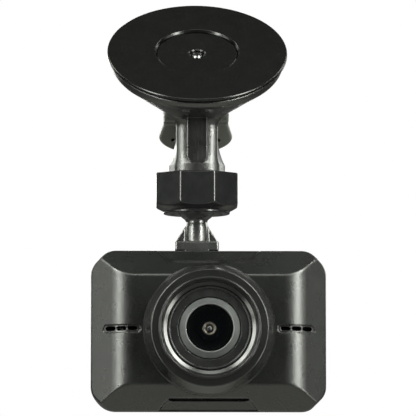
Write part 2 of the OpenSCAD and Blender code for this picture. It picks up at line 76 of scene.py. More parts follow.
bezel_low, bezel_high = span("lens_bezel")
nut_low, nut_high = span("lock_nut")
CAM_X = (bezel_low[0] + bezel_high[0]) / 2
CAM_Z = (bezel_low[2] + bezel_high[2]) / 2
SPLIT_Y = span("front_shell")[0][1] + FRONT_DEPTH
NECK_Y = (nut_low[1] + nut_high[1]) / 2
NUT_TOP, NOSE_LOW = nut_high[2], nut_low[2]
BALL_Z = span("ball_stem")[1][2] - BALL_R


def to_pad(x, y, z):
    """Frame to the suction face's own axes, whose third is the face's normal."""
    return x, y * TILT_COS + z * TILT_SIN, z * TILT_COS - y * TILT_SIN


def pad_place(p):
    return np.stack([p[:, 0], p[:, 1] * TILT_COS - p[:, 2] * TILT_SIN,
                     p[:, 1] * TILT_SIN + p[:, 2] * TILT_COS], 1)


def lens_turn(p):
    """Third axis to -Y, the way the lens looks."""
    return np.stack([p[:, 0], -p[:, 2], p[:, 1]], 1)


def lens_place(p):
    return lens_turn(p) + np.array([CAM_X, SPLIT_Y, CAM_Z])


# ---------------------------------------------------------------- fields

def both(r, first, *rest):
    """Where all fields are inside, with edges rounded by about r."""
    out = first
    for f in rest:
        out = (np.minimum(np.maximum(out, f), -r)
               + np.hypot(np.maximum(out + r, 0), np.maximum(f + r, 0)))
    return out


def join(r, first, *rest):
    """Where any field is inside, with corners filled by about r."""
    out = first
    for f in rest:
        out = (np.maximum(np.minimum(out, f), r)
               - np.hypot(np.maximum(r - out, 0), np.maximum(r - f, 0)))
    return out


def cut(r, body, *tools):
    for tool in tools:
        body = both(r, body, -tool)
    return body


def between(v, low, high):
    return np.maximum(low - v, v - high)


def round_box(u, v, half_u, half_v, r):
    a, b = np.abs(u) - half_u + r, np.abs(v) - half_v + r
    return np.hypot(np.maximum(a, 0), np.maximum(b, 0)) + np.minimum(np.maximum(a, b), 0) - r


def slope(u, v, point, along):
    """Distance beyond the line through point that runs along a direction, on its right."""
    length = math.hypot(*along)
    return ((u - point[0]) * along[1] - (v - point[1]) * along[0]) / length


def body_outline(u, v, inset=0.0):
    r = max(6.0 - inset, 1.2)
    m = inset + r
    w, h, c = BODY_HALF_W - m, BODY_HALF_H - m, 5.8 - m * (2 - math.sqrt(2))
    a, b = np.abs(u), np.abs(v)
    inside = np.maximum(np.maximum(a - w, b - h), (a + b - (w + h - c)) / math.sqrt(2))
    t = np.clip(((w - a) + (b - (h - c))) / (2 * c), 0, 1)
    outside = np.minimum(np.minimum(
        np.hypot(a - w, np.maximum(b - (h - c), 0)),
        np.hypot(b - h, np.maximum(a - (w - c), 0))),
        np.hypot(a - (w - t * c), b - (h - c + t * c)))
    return np.where(inside < 0, inside, outside) - r


def front_form(u, d, v, soft=1.0):
    """The sloping front: raised panel, side slopes, upper and lower slopes."""
    rise = FRONT_DEPTH - EDGE_BAND
    a, b = np.abs(u), np.abs(v)
    side = slope(a, d, (BODY_HALF_W, EDGE_BAND), (PANEL_HALF_W - BODY_HALF_W, rise))
    top = slope(b, d, (BODY_HALF_H, EDGE_BAND), (PANEL_HALF_H - BODY_HALF_H, rise))
    return both(0.5 * soft, both(2.6 * soft, d - FRONT_DEPTH, side), top)


VENT_X, VENT_Z, VENT_PITCH = 28.8, 0.4, 3.65
VENT_SLOT, VENT_SINK = (6.2, 1.3), 0.7
VENT_HOLE = (1.55, 0.65)
BOARD_SCREW, BOARD_POST_R, BOARD_PILOT_R = (28.0, 18.4), 2.1, 0.9
CASE_SCREW, CASE_POST_R = (34.6, 15.0), 2.4
FRONT_WALL = 2.3
GRIP_HALF_W, GRIP_REACH, GRIP_SINK, GRIP_LEAN = 13.5, 4.4, 1.4, 0.6
GROOVE_REACH, GROOVE_HALF_W, GROOVE_SINK = (3.5, 4.2), 13.3, 2.4
BEZEL_SEAT_R = 18.0


def vent_row(box, half, r):
    """Three equal openings side by side, as one field."""
    side, up = box
    return np.minimum(np.minimum(round_box(side, up, *half, r),
                                 round_box(side - VENT_PITCH, up, *half, r)),
                      round_box(side + VENT_PITCH, up, *half, r))


def front_shell(x, y, z):
    u, d, v = x - CAM_X, SPLIT_Y - y, z - CAM_Z
    form = front_form(u, d, v)
    body = both(0.45, body_outline(u, v), form)
    void = both(0.6, body_outline(u, v, WALL), front_form(u, d + FRONT_WALL, v, 0.6))
    depth = BODY_HALF_H - np.abs(v)
    under = GRIP_LEAN * form
    grip_side = slope(np.abs(u), -depth, (GRIP_HALF_W, -GRIP_REACH), (3.1, 3.6))
    pocket = both(1.4, grip_side - under, depth - GRIP_REACH - 1.4 * under)
    pocket = both(0.25, pocket, -front_form(u, d + GRIP_SINK, v))
    thick = both(0.4, depth - GRIP_REACH - 1.6, np.abs(u) - GRIP_HALF_W - 3.0)
    solid = cut(0.15, body, both(0.4, void, -thick))
    solid = cut(0.4, solid, pocket)
    groove = both(0.2, between(depth, *GROOVE_REACH), np.abs(u) - GROOVE_HALF_W, v,
                  -front_form(u, d + GROOVE_SINK, v))
    solid = cut(0.15, solid, groove)
    side = np.abs(u) - VENT_X
    slot = both(0.2, round_box(side, v - VENT_Z + 0.1, *VENT_SLOT, 1.29),
                -front_form(u, d + VENT_SINK, v))
    solid = cut(0.18, solid, slot)
    solid = cut(0.14, solid, vent_row((side, v - VENT_Z), VENT_HOLE, 0.64))
    solid = cut(0.2, solid, np.hypot(u, v) - BEZEL_SEAT_R)
    screw = np.hypot(np.abs(u) - BOARD_SCREW[0], np.abs(v) - BOARD_SCREW[1])
    posts = np.maximum(screw - BOARD_POST_R, np.maximum(-d, form + 1.0))
    posts = cut(0.1, posts, screw - BOARD_PILOT_R + np.maximum(d - 3.0, 0))
    return both(0.22, join(0.3, solid, posts), -d)


BUTTON_X = -27.5
BUTTON_ROWS = (14.0, 7.0, 0.0, -7.0, -14.0)
WINDOW_X = 5.0
# Rail in the body's top: half widths of its neck and head, and the heights of the head
RAIL_NECK, RAIL_HEAD, RAIL_FLOOR, RAIL_STEP = 4.2, 6.2, 23.35, (24.15, 25.35)
WINDOW_HALF, WINDOW_SEAT_HALF, WINDOW_SEAT = (25.0, 18.8), (26.4, 20.15), 12.8
KEY_HOLE = (3.95, 2.5, 1.4)
SKIN = 10.0


def rear_shell(x, y, z):
    u, e, v = x - CAM_X, y - SPLIT_Y, z - CAM_Z
    a, b = np.abs(u), np.abs(v)
    form = both(0.5, body_outline(u, v), slope(a, -e, (BODY_HALF_W, -4.0), (2.5, 12.0)),
                slope(b, -e, (BODY_HALF_H, -4.0), (2.5, 12.0)))
    form = both(0.9, form, e - REAR_DEPTH)
    inner = both(0.5, body_outline(u, v, WALL),
                 slope(a, -e, (BODY_HALF_W - WALL, -4.0), (2.5, 10.2)),
                 slope(b, -e, (BODY_HALF_H - WALL, -4.0), (2.5, 10.2)), e - (REAR_DEPTH - WALL))
    rail = u + CAM_X
    block = np.maximum(np.maximum(np.abs(rail) - 7.6, 22.15 - v), form + 0.5)
    screw = np.hypot(a - CASE_SCREW[0], b - CASE_SCREW[1])
    posts = np.maximum(screw - CASE_POST_R, form + 0.5)
    solid = join(0.3, cut(0.15, form, inner), block, posts)
    rail_slot = join(0.1, both(0.1, np.abs(rail) - RAIL_NECK, RAIL_STEP[0] - v),
                     both(0.1, np.abs(rail) - RAIL_HEAD, between(v, RAIL_FLOOR, RAIL_STEP[1])))
    solid = cut(0.25, solid, both(0.1, rail_slot, 0.3 - e))
    pane = round_box(u - WINDOW_X, v, *WINDOW_SEAT_HALF, 1.6)
    opening = round_box(u - WINDOW_X, v, *WINDOW_HALF, 1.0)
    solid = cut(0.2, solid, both(0.1, pane, WINDOW_SEAT - e), np.maximum(opening, SKIN - e))
    key = round_box(u - BUTTON_X, v - BUTTON_ROWS[0], *KEY_HOLE)
    for row in BUTTON_ROWS[1:]:
        key = np.minimum(key, round_box(u - BUTTON_X, v - row, *KEY_HOLE))
    solid = cut(0.3, solid, np.maximum(key, SKIN - e))
    small = np.minimum(np.hypot(u - BUTTON_X, v - 19.8) - 0.95,
                       np.hypot(u - BUTTON_X - 3.0, v + 19.8) - 0.5)
    solid = cut(0.12, solid, np.maximum(small, SKIN - e))
    solid = cut(0.2, solid, np.minimum(screw - 1.1, np.maximum(screw - 1.9, 12.4 - e)))
    solid = cut(0.2, solid, np.maximum(round_box(u - 18.0, e - 8.9, 4.7, 1.8, 1.79), 20.0 - v),
                np.maximum(round_box(e - 8.0, v + 4.0, 0.7, 6.0, 0.3), 33.0 - u))
    return both(0.22, solid, -e)


SEAM, SEAM_HALF_W = 0.05, 0.22
# Bell: rim radius and height, and where its two slopes meet
RIM_R, RIM_Z, BELL_BEND, BELL_FOOT = 28.7, -2.2, (20.4, -12.0), -18.6
BELL_WALL = 1.7
# Neck: half width and depth of the column, and the cheeks either side of its front
NECK_HALF, NECK_BACK, NECK_FRONT = (6.9, 7.4), 1.8, 9.2
CHEEK, CHEEK_HALF_W = math.radians(24), 3.7
PANEL_W, PANEL_LOW, PANEL_HIGH, PANEL_SINK = 3.45, -37.4, -22.0, 0.8
CAM_ROOM, CAM_ROOM_W, POST_BORE = 4.9, 12.8, 3.08


def bell_side(rho, pz, bend, rise):
    """Two straight slopes that meet in a hollow at bend."""
    return join(1.0, slope(rho, pz, bend, rise), slope(rho, pz, bend, (1.0, 1.0)))


def mount_housing(x, y, z):
    px, py, pz = to_pad(x, y, z)
    rho = np.hypot(px, py)
    outer = bell_side(rho, pz, BELL_BEND, (7.7, 6.8))
    outer = both(2.4, both(1.0, rho - RIM_R, outer), BELL_FOOT - pz)
    inner = bell_side(rho, pz, (BELL_BEND[0] - 2.0, BELL_BEND[1]), (8.6, 7.6))
    inner = both(1.5, both(0.5, rho - RIM_R + BELL_WALL, inner), BELL_FOOT + 1.8 - pz)
    bell = both(0.45, cut(0.2, outer, inner), pz - RIM_Z)
    column = round_box(x, y - NECK_Y + NECK_BACK, *NECK_HALF, 2.6)
    cheek = ((np.abs(x) - CHEEK_HALF_W) * math.sin(CHEEK)
             + (NECK_Y - NECK_FRONT - y) * math.cos(CHEEK))
    column = both(0.3, both(0.9, column, cheek), pz + 17.6, NUT_TOP - z)
    ring = np.hypot(x, y - NECK_Y)
    size = np.interp(z, [-50.4, -49.3, -49.1, -48.9, -48.7, -47.6, -46.8, -46.4, -46.2, -45.1,
                         -44.3, -43.9, -43.7, -42.6, -42.5, -42.3, -37.6, -31.3],
                     [9.1, 9.1, 9.4, 9.4, 9.1, 9.1, 9.1, 9.4, 9.4, 9.1,
                      9.1, 9.4, 9.4, 9.1, 9.1, 9.5, 9.5, 6.4])
    flare = both(0.25, (ring - size) * 0.88, between(z, -50.4, -31.3))
    body = join(4.5, bell, column)
    body = join(2.2, body, flare)
    seam = SEAM * np.exp(-((x / SEAM_HALF_W) ** 2)) * np.clip((NECK_Y - 4.0 - y) / 2.0, 0, 1)
    panel = both(2.6, np.abs(x) - PANEL_W, PANEL_LOW - z)
    panel = both(0.3, panel, y - NECK_Y + NECK_FRONT - PANEL_SINK, z - PANEL_HIGH)
    body = cut(0.14, body, panel) - seam
    bore = np.maximum(rho - POST_BORE, between(pz, -24.0, -12.0))
    cams = np.minimum(np.hypot(py, pz - PIN_Z), np.hypot(py, pz - PIN_Z + PULL_TRAVEL)) - CAM_ROOM
    cams = both(0.1, cams, np.abs(x) - CAM_ROOM_W)
    socket = np.maximum(ring - 8.6, z + 39.5)
    return cut(0.25, body, bore, cams, socket)


# Lever: cam radius and rise over its turn in degrees, width over the cams, and the paddle
CAM_R, CAM_RISE, LEVER_TURN, LEVER_HALF_W = 4.3, 1.4, 85, 10.78
PADDLE_W, PADDLE_END, PADDLE_WIDEST = 12.3, 6.4, -10.2
PADDLE_HALF_T = 1.3
FORK_HALF_W, FORK_R, PIN_HOLE = 2.8, 3.1, 1.27
DIMPLE_X, DIMPLE_W, DIMPLE_R = 7.6, -11.2, 0.65


def lock_lever(x, y, z):
    u, v, w = to_pad(x, y, z)
    w = w - PIN_Z
    angle = np.degrees(np.arctan2(v, w))
    reach = CAM_R + np.where(angle < 0, 0, np.where(
        angle < LEVER_TURN, CAM_RISE * angle / LEVER_TURN,
        CAM_RISE * (180 - angle) / (180 - LEVER_TURN)))
    cams = both(0.8, (np.hypot(v, w) - reach) * 0.97, np.abs(u) - LEVER_HALF_W)
    below = w - PADDLE_WIDEST
    k0 = np.hypot(u / PADDLE_W, below / PADDLE_END)
    k1 = np.hypot(u / PADDLE_W ** 2, below / PADDLE_END ** 2) + 1e-6
    round_end = k0 * (k0 - 1) / k1
    straight = np.abs(u) - np.interp(w, [PADDLE_WIDEST, -7.2, -3.6, 0], [12.28, 11.4, 10.3, 10.3])
    outline = np.where(below > 0, straight, np.maximum(round_end, straight - 8))
    thinning = 0.25 * np.clip((-w - 9) / 8, 0, 1)
    paddle = both(0.75, outline * 0.95, np.abs(v) - PADDLE_HALF_T + thinning, w)
    body = join(1.5, cams, paddle)
    room = np.minimum(np.hypot(v, w) - FORK_R,
                      np.minimum(np.maximum(-FORK_R - v, -w), np.maximum(-v, -FORK_R - w)))
    body = cut(0.35, body, np.maximum(np.abs(u) - FORK_HALF_W, room), np.hypot(v, w) - PIN_HOLE)
    dimple = np.hypot(np.abs(u) - DIMPLE_X, w - DIMPLE_W) - DIMPLE_R
    return cut(0.12, body, np.maximum(dimple, v - 0.4))


NUT_FLATS, NUT_CHAMFER_Z = 13.6, -51.6
NOSE_R, NUT_BORE, NUT_BORE_LOW = 11.1, 9.58, -50.6
BALL_RUN, LIP = 0.08, math.radians(63)


def lock_nut(x, y, z):
    a, b = np.abs(x), np.abs(y - NECK_Y)
    rho = np.hypot(a, b)
    eight = both(0.3, both(0.3, a - NUT_FLATS, (a + b) / math.sqrt(2) - NUT_FLATS), b - NUT_FLATS)
    crown = both(0.35, eight, slope(rho, z, (NUT_FLATS, NUT_CHAMFER_Z), (2.1, 1.9)))
    crown = both(0.25, crown, slope(rho, z, (NUT_FLATS, NUT_CHAMFER_Z), (1.9, 1.0)))
    crown = both(0.55, crown, z - NUT_TOP)
    nose = both(0.45, rho - NOSE_R, NOSE_LOW - z, z + 49.0)
    body = join(0.25, crown, nose)
    body = cut(0.4, body, both(0.1, rho - NUT_BORE, NUT_BORE_LOW - z))
    ball = np.sqrt(rho ** 2 + (z - BALL_Z) ** 2) - BALL_R - BALL_RUN
    mouth = np.maximum(rho * math.cos(LIP) - (BALL_Z - z) * math.sin(LIP), z - BALL_Z)
    return cut(0.3, body, ball, mouth)


# Foot of the stem: top and bottom, and the rail's neck and head under it
FOOT_TOP, FOOT_LOW, HEAD_TOP, HEAD_LOW = -63.2, -66.3, -68.1, -69.7
FOOT_HALF_D = 5.5
WEB_HALF_T = 1.2


def ball_stem(x, y, z):
    rho = np.hypot(x, y - NECK_Y)
    ball = np.sqrt(rho ** 2 + (z - BALL_Z) ** 2) - BALL_R
    stem = both(0.3, (rho - np.interp(z, [-63.2, -58, -55.5, -53.2], [4.1, 3.9, 3.3, 3.2])) * 0.98,
                between(z, -64.0, BALL_Z))
    half = np.interp(z, [-64.2, -62.9, -58.8, -57], [7.0, 7.0, 4.4, 3.0])
    web = both(0.35, (np.abs(x) - half) * 0.82, np.abs(y - NECK_Y) - WEB_HALF_T,
               between(z, -64.2, -57.0))
    foot = both(0.5, round_box(x, y - NECK_Y, 7.3, FOOT_HALF_D, 0.8), between(z, FOOT_LOW, FOOT_TOP))
    neck = np.maximum(round_box(x, y - NECK_Y, 4.0, FOOT_HALF_D, 0.3),
                      between(z, HEAD_TOP - 0.2, FOOT_LOW + 0.3))
    rail = both(0.25, round_box(x, y - NECK_Y, 6.0, FOOT_HALF_D, 0.3), between(z, HEAD_LOW, HEAD_TOP))
    body = join(0.9, ball, stem)
    body = join(0.5, body, web)
    body = join(0.5, body, foot)
    return join(0.15, body, neck, rail)


# ---------------------------------------------------------------- meshes

def slopes_of(field, p, h=0.03):
    g = np.empty_like(p)
    for k in range(3):
        q = p.copy()
        q[:, k] += h
        up = field(q[:, 0], q[:, 1], q[:, 2])
        q[:, k] -= 2 * h
        g[:, k] = (up - field(q[:, 0], q[:, 1], q[:, 2])) / (2 * h)
    return g


def settle(field, p, step, rounds=3):
    """Moves points onto the surface and gives its normals there."""
    for _ in range(rounds):
        g = slopes_of(field, p)
        f = field(p[:, 0], p[:, 1], p[:, 2])
        move = -f[:, None] * g / np.maximum((g * g).sum(1), 0.2)[:, None]
        far = np.linalg.norm(move, axis=1)
        p = p + move * np.minimum(1, 0.5 * step / np.maximum(far, 1e-9))[:, None]
    g = slopes_of(field, p)
    return p, g / np.maximum(np.linalg.norm(g, axis=1), 1e-9)[:, None]


# Cells along a block's side, blocks worked at once, and the margin on a block's reach
BLOCK, BATCH, REACH_MARGIN = 8, 500, 1.15
FAR = 9.0


def net(field, low, high, step):
    """Vertices, quads and normals of the surface where the field is zero."""
    low = np.array(low, float) - 1.5 * step
    count = np.ceil((np.array(high, float) + 1.5 * step - low) / step).astype(int) + 1
    blocks = -(-count // BLOCK)
    axes = [low[k] + (np.arange(blocks[k]) * BLOCK + (BLOCK - 1) / 2) * step for k in range(3)]
    mids = np.stack(np.meshgrid(*axes, indexing="ij"), -1).reshape(-1, 3)
    coarse = field(mids[:, 0], mids[:, 1], mids[:, 2]).reshape(blocks)
    values = np.where(coarse < 0, -FAR, FAR)
    for k in range(3):
        values = np.repeat(values, BLOCK, axis=k)
    reach = (BLOCK / 2 + 1) * step * math.sqrt(3) * REACH_MARGIN
    near = np.argwhere(np.abs(coarse) < reach)
    offsets = np.argwhere(np.ones((BLOCK,) * 3))
    for part in np.array_split(near, max(1, len(near) // BATCH)):
        at = (part[:, None, :] * BLOCK + offsets[None]).reshape(-1, 3)
        q = low + at * step
        values[at[:, 0], at[:, 1], at[:, 2]] = field(q[:, 0], q[:, 1], q[:, 2])
    inside = values < 0
    corner = [(i, j, k) for i in (0, 1) for j in (0, 1) for k in (0, 1)]
    shape = np.array(values.shape) - 1
    total = np.zeros(shape, np.uint8)
    for i, j, k in corner:
        total += inside[i:i + shape[0], j:j + shape[1], k:k + shape[2]]
    cells = np.argwhere((total > 0) & (total < 8))
    number = np.full(values.shape, -1, np.int64)
    number[cells[:, 0], cells[:, 1], cells[:, 2]] = np.arange(len(cells))
    at_corner = [values[cells[:, 0] + i, cells[:, 1] + j, cells[:, 2] + k] for i, j, k in corner]
    total_p, hits = np.zeros((len(cells), 3)), np.zeros(len(cells))
    for m in range(8):
        for n in range(m + 1, 8):
            way = np.array(corner[n]) - np.array(corner[m])
            if np.abs(way).sum() != 1:
                continue
            va, vb = at_corner[m], at_corner[n]
            crosses = (va < 0) != (vb < 0)
            t = np.where(crosses, va / np.where(crosses, va - vb, 1), 0)
            total_p += (np.array(corner[m]) + t[:, None] * way) * crosses[:, None]
            hits += crosses
    p = low + (cells + total_p / hits[:, None]) * step
    quads = []
    for k in range(3):
        a, b = (k + 1) % 3, (k + 2) % 3
        first, second = [slice(None)] * 3, [slice(None)] * 3
        first[k], second[k] = slice(0, -1), slice(1, None)
        from_in = inside[tuple(first)]
        change = np.argwhere(from_in != inside[tuple(second)])
        change = change[(change[:, a] > 0) & (change[:, b] > 0)]
        ea, eb = np.eye(3, dtype=int)[a], np.eye(3, dtype=int)[b]
        four = [change - ea - eb, change - eb, change, change - ea]
        q = np.stack([number[c[:, 0], c[:, 1], c[:, 2]] for c in four], 1)
        outward = from_in[change[:, 0], change[:, 1], change[:, 2]]
        quads.append(np.where(outward[:, None], q, q[:, ::-1]))
    quads = np.concatenate(quads)
    quads = quads[(quads >= 0).all(1)]
    p, normals = settle(field, p, step)
    return p, quads, normals


def new_piece(name, points, faces, normals, material, body, replaces=()):
    """A smooth-shaded object from points in millimetres, riding on a body."""
    mesh = bpy.data.meshes.new(name)
    sizes = np.array([len(f) for f in faces], np.int32)
    corners = np.concatenate([np.asarray(f, np.int32) for f in faces])
    mesh.vertices.add(len(points))
    mesh.vertices.foreach_set("co", (np.asarray(points) * MM).astype(np.float32).ravel())
    mesh.loops.add(len(corners))
    mesh.loops.foreach_set("vertex_index", corners)
    mesh.polygons.add(len(sizes))
    starts = np.concatenate([[0], np.cumsum(sizes)[:-1]]).astype(np.int32)
    mesh.polygons.foreach_set("loop_start", starts)
    mesh.polygons.foreach_set("loop_total", sizes)
    mesh.update(calc_edges=True)
    mesh.validate()
    mesh.shade_smooth()
    if normals is not None:
        mesh.normals_split_custom_set_from_vertices(np.asarray(normals, np.float32))
    obj = bpy.data.objects.new(name, mesh)
    bpy.context.scene.collection.objects.link(obj)
    mesh.materials.append(material)
    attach(obj, body)
    if replaces:
        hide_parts(*replaces)
    return obj


# Largest share of a side that a corner's arc may take, and the degrees between arc points
ARC_SHARE, ARC_STEP = 0.46, 14


def filleted(profile, r, closed=True):
    """Profile with arcs at its corners: points, and normals to its right-hand side."""
    pts = [np.array(p[:2], float) for p in profile]
    radii = [p[2] if len(p) > 2 else r for p in profile]
    count = len(pts)
    out, normal = [], []
    for i in range(count):
        end = not closed and i in (0, count - 1)
        before, here, after = pts[i - 1], pts[i], pts[(i + 1) % count]
        d0 = here - before if not (not closed and i == 0) else after - here
        d1 = after - here if not (not closed and i == count - 1) else here - before
        l0, l1 = np.linalg.norm(d0), np.linalg.norm(d1)
        d0, d1 = d0 / l0, d1 / l1
        turn = math.atan2(d0[0] * d1[1] - d0[1] * d1[0], float(d0 @ d1))
        if end or abs(turn) < 1e-4:
            out.append(here)
            normal.append(np.array([d0[1], -d0[0]]) if i else np.array([d1[1], -d1[0]]))
            continue
        back = min(radii[i] * math.tan(abs(turn) / 2), ARC_SHARE * l0, ARC_SHARE * l1)
        radius = back / math.tan(abs(turn) / 2)
        side = 1 if turn > 0 else -1
        centre = here - d0 * back + side * radius * np.array([-d0[1], d0[0]])
        steps = max(2, int(math.degrees(abs(turn)) / ARC_STEP) + 1)
        first = math.atan2(*(here - d0 * back - centre)[::-1])
        for s in range(steps + 1):
            a = first + turn * s / steps
            ray = np.array([math.cos(a), math.sin(a)])
            out.append(centre + radius * ray)
            normal.append(side * ray)
    return np.array(out), np.array(normal)


def turned(profile, r=0.25, closed=True, steps=144, spread=(0.0, 0.0)):
    """Turns a profile of radius and height about the third axis; spread makes it oblong."""
    line, face = filleted(profile, r, closed)
    area = 0.5 * np.sum(line[:, 0] * np.roll(line[:, 1], -1) - np.roll(line[:, 0], -1) * line[:, 1])
    if area < 0:
        face = -face
    quarter = steps // 4
    angles, shift = [], []
    for k, (sx, sy) in enumerate(((1, 1), (-1, 1), (-1, -1), (1, -1))):
        more = 1 if spread != (0.0, 0.0) else 0
        for i in range(quarter + more):
            angles.append((k + i / quarter) * math.pi / 2)
            shift.append((sx * spread[0], sy * spread[1]))
    angles, shift = np.array(angles), np.array(shift)
    m, n = len(angles), len(line)
    cos, sin = np.cos(angles), np.sin(angles)
    p = np.stack([line[:, None, 0] * cos + shift[:, 0], line[:, None, 0] * sin + shift[:, 1],
                  np.repeat(line[:, 1:2], m, 1)], -1).reshape(-1, 3)
    q = np.stack([face[:, None, 0] * cos, face[:, None, 0] * sin,
                  np.repeat(face[:, 1:2], m, 1)], -1).reshape(-1, 3)
    i = np.arange(n if closed else n - 1)
    j = np.arange(m)
    a = i[:, None] * m + j
    b = i[:, None] * m + (j + 1) % m
    c = ((i[:, None] + 1) % n) * m + (j + 1) % m
    d = ((i[:, None] + 1) % n) * m + j
    quads = np.stack([a, b, c, d], -1).reshape(-1, 4)
    caps = [] if closed else [np.arange(m)[::-1], (n - 1) * m + np.arange(m)]
    faces = [*quads, *caps]
    if area <= 0:
        faces = [f[::-1] for f in faces]
    return p, faces, q


def turned_piece(name, profile, place, material, body, replaces=(), slot=None, at=(0, 0, 0), **how):
    p, faces, q = turned(profile, **how)
    p = p + np.array(at, float)
    normals = place(q) - place(np.zeros((1, 3)))
    return new_piece(name, place(p), faces, normals, material, body, replaces)


# ---------------------------------------------------------------- materials

def nodes_of(name):
    mat = bpy.data.materials.new(name)
    mat.use_nodes = True
    tree = mat.node_tree
    return mat, tree, tree.nodes["Principled BSDF"]


def noise(tree, coords, size_mm, detail=2.0, rough=0.5):
    """Noise whose features are about size_mm across."""
    node = tree.nodes.new("ShaderNodeTexNoise")
    node.inputs["Scale"].default_value = 1.0 / (size_mm * MM)
    node.inputs["Detail"].default_value = detail
    node.inputs["Roughness"].default_value = rough
    tree.links.new(coords, node.inputs["Vector"])
    return node.outputs["Fac"]


def ranged(tree, value, low, high, into_low=0.3, into_high=0.7):
    node = tree.nodes.new("ShaderNodeMapRange")
    node.inputs["From Min"].default_value = into_low
    node.inputs["From Max"].default_value = into_high
    node.inputs["To Min"].default_value = low
    node.inputs["To Max"].default_value = high
    tree.links.new(value, node.inputs["Value"])
    return node.outputs["Result"]


def blend_colours(tree, factor, first, second):
    node = tree.nodes.new("ShaderNodeMix")
    node.data_type = "RGBA"
    tree.links.new(factor, node.inputs["Factor"])
    for socket, value in ((node.inputs[6], first), (node.inputs[7], second)):
        if isinstance(value, bpy.types.NodeSocket):
            tree.links.new(value, socket)
        else:
            socket.default_value = (*value, 1)
    return node.outputs[2]


def moulded(name, colour, rough, grain=0.35, bump=0.3, edge_highlight=0.0, mottle=0.14, level=0.5, vary=0.06):
    """Moulded plastic or rubber: eroded grain, uneven gloss, and a painted highlight that lightens its
    sharp edges.
    """
    mat, tree, shader = nodes_of(name)
    coords = tree.nodes.new("ShaderNodeTexCoord").outputs["Object"]
    broad = noise(tree, coords, 9.0, 3.0)
    dark = tuple(c * (1 - mottle) for c in colour)
    light = tuple(c * (1 + mottle) for c in colour)
    tint = blend_colours(tree, ranged(tree, broad, 0, 1), dark, light)
    speck = noise(tree, coords, grain * 1.3, 1.0)
    tint = blend_colours(tree, ranged(tree, speck, 0, 0.22, 0.58, 0.75), tint,
                         tuple(c * 2.2 + 0.01 for c in colour))
    # Painted highlight: the base colour is made lighter along sharp edges, where light catches them.
    if edge_highlight:
        edge = tree.nodes.new("ShaderNodeNewGeometry").outputs["Pointiness"]
        highlight_mask = ranged(tree, edge, 0, edge_highlight, 0.53, 0.62)
        tint = blend_colours(tree, highlight_mask, tint, tuple(c * 2.4 + 0.02 for c in colour))
    tree.links.new(tint, shader.inputs["Base Color"])
    gloss = ranged(tree, noise(tree, coords, 5.0, 3.0), rough - vary, rough + vary)
    tree.links.new(gloss, shader.inputs["Roughness"])
    shader.inputs["Specular IOR Level"].default_value = level
    relief = tree.nodes.new("ShaderNodeBump")
    relief.inputs["Strength"].default_value = bump
    relief.inputs["Distance"].default_value = grain * MM * 0.25
    tree.links.new(noise(tree, coords, grain, 2.0, 0.6), relief.inputs["Height"])
    tree.links.new(relief.outputs["Normal"], shader.inputs["Normal"])
    return mat


def metal(name, colour, rough, streak=(1.0, 1.0, 1.0), bump=0.1, grain=0.2):
    """Metal with fine stretched scratches and slightly uneven tone."""
    mat, tree, shader = nodes_of(name)
    coords = tree.nodes.new("ShaderNodeTexCoord").outputs["Object"]
    stretch = tree.nodes.new("ShaderNodeMapping")
    stretch.inputs["Scale"].default_value = streak
    tree.links.new(coords, stretch.inputs["Vector"])
    lines = noise(tree, stretch.outputs["Vector"], grain, 3.0, 0.65)
    tint = blend_colours(tree, ranged(tree, noise(tree, coords, 4.0), 0, 1),
                         tuple(c * 0.88 for c in colour), tuple(min(1, c * 1.1) for c in colour))
    tree.links.new(tint, shader.inputs["Base Color"])
    shader.inputs["Metallic"].default_value = 1.0
    tree.links.new(ranged(tree, lines, rough - 0.07, rough + 0.07), shader.inputs["Roughness"])
    relief = tree.nodes.new("ShaderNodeBump")
    relief.inputs["Strength"].default_value = bump
    relief.inputs["Distance"].default_value = grain * MM * 0.2
    tree.links.new(lines, relief.inputs["Height"])
    tree.links.new(relief.outputs["Normal"], shader.inputs["Normal"])
    return mat


def glass(name, colour, alpha=0.35, rough=0.03):
    """Dark coated glass that lets what is behind it show."""
    mat, tree, shader = nodes_of(name)
    coords = tree.nodes.new("ShaderNodeTexCoord").outputs["Object"]
    haze = noise(tree, coords, 6.0, 3.0)
    tint = blend_colours(tree, ranged(tree, haze, 0, 1), tuple(c * 0.8 for c in colour), colour)
    tree.links.new(tint, shader.inputs["Base Color"])
    tree.links.new(ranged(tree, haze, rough * 0.5, rough * 1.5), shader.inputs["Roughness"])
    shader.inputs["Alpha"].default_value = alpha
    return mat
